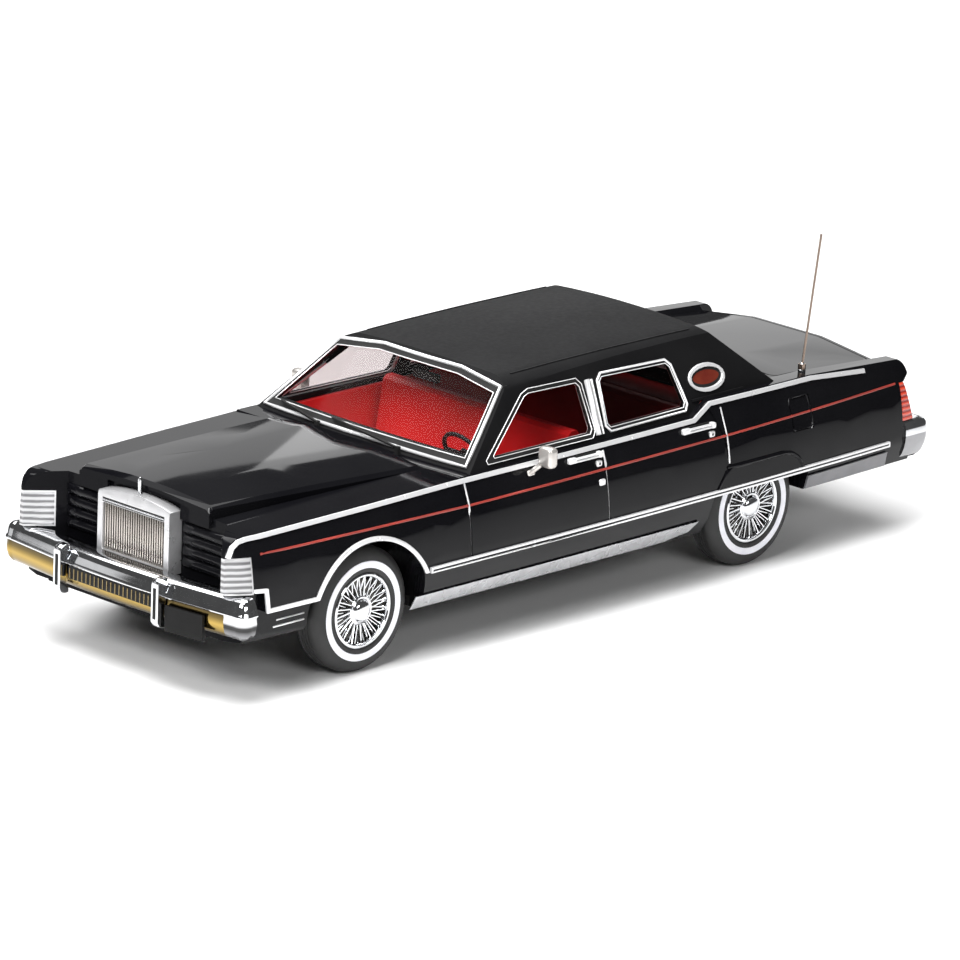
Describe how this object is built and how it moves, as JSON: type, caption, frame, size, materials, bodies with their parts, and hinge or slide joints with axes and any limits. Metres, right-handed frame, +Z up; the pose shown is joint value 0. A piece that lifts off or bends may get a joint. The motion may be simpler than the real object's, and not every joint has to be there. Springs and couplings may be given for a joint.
{
  "type": "scale model luxury sedan",
  "caption": "Collector scale model of a long late-1970s luxury sedan in gloss black, with a red cabin, upright grille, wire-style wheels and whitewall tyres that roll.",
  "frame": {"origin": "on the floor under the middle of the car", "axes": "+X towards the front of the car, +Y to its left, +Z up"},
  "size_m": [0.1376, 0.0504, 0.0442],
  "materials": {
    "antenna_metal": "bare wire",
    "black_paint": "gloss black lacquer",
    "black_plastic": "satin black",
    "brushed_trim": "brushed bright",
    "chrome": "bright plated",
    "clear_glass": "clear",
    "clear_lens": "clear ribbed lens",
    "grey_trim": "satin grey",
    "opera_glass": "dark tinted",
    "plate_black": "blank black plate",
    "red_lens": "transparent red lens",
    "red_trim": "satin red upholstery colour",
    "steel": "ground steel",
    "tyre": "black with a white sidewall band",
    "vinyl_black": "grained matt black roof covering"
  },
  "bodies": {
    "root": {"antenna": "antenna_metal", "arch_trims": "chrome", "baseplate": "black_plastic", "body_shell": "black_paint", "bumper_guards": "chrome", "corner_lamps": "clear_lens", "dashboard": "red_trim", "door_handles": "chrome", "door_mirrors": "chrome", "front_bumper": "chrome", "front_seat": "red_trim", "grille_bars": "chrome", "grille_shell": "chrome", "headlamp_doors": "black_paint", "hood_ornament": "chrome", "interior_tub": "red_trim", "number_plate": "plate_black", "opera_frames": "chrome", "opera_windows": "opera_glass", "quarter_extensions": "grey_trim", "rear_bumper": "chrome", "rear_glass": "clear_glass", "rear_seat": "red_trim", "rear_view_mirror": "black_plastic", "rear_window_frame": "chrome", "rocker_panels": "brushed_trim", "roof_shell": "vinyl_black", "shoulder_strips": "chrome", "side_glass": "clear_glass", "side_mouldings": "chrome", "side_window_frames": "chrome", "steering_wheel": "black_plastic", "tail_lamps": "red_lens", "windscreen_frame": "chrome", "windscreen_glass": "clear_glass", "wipers": "black_plastic"},
    "front_wheelset": {"front_axle": "steel", "front_left_tyre": "tyre", "front_left_wheel": "chrome", "front_right_tyre": "tyre", "front_right_wheel": "chrome"},
    "rear_wheelset": {"rear_axle": "steel", "rear_left_tyre": "tyre", "rear_left_wheel": "chrome", "rear_right_tyre": "tyre", "rear_right_wheel": "chrome"}
  },
  "joints": [
    {"name": "front_axle_spin", "type": "hinge", "parent": "root", "child": "front_wheelset", "pos_m": [0.04245, 0, 0.00856], "axis": [0, 1, 0], "continuous": true},
    {"name": "rear_axle_spin", "type": "hinge", "parent": "root", "child": "rear_wheelset", "pos_m": [-0.03265, 0, 0.00856], "axis": [0, 1, 0], "continuous": true}
  ]
}
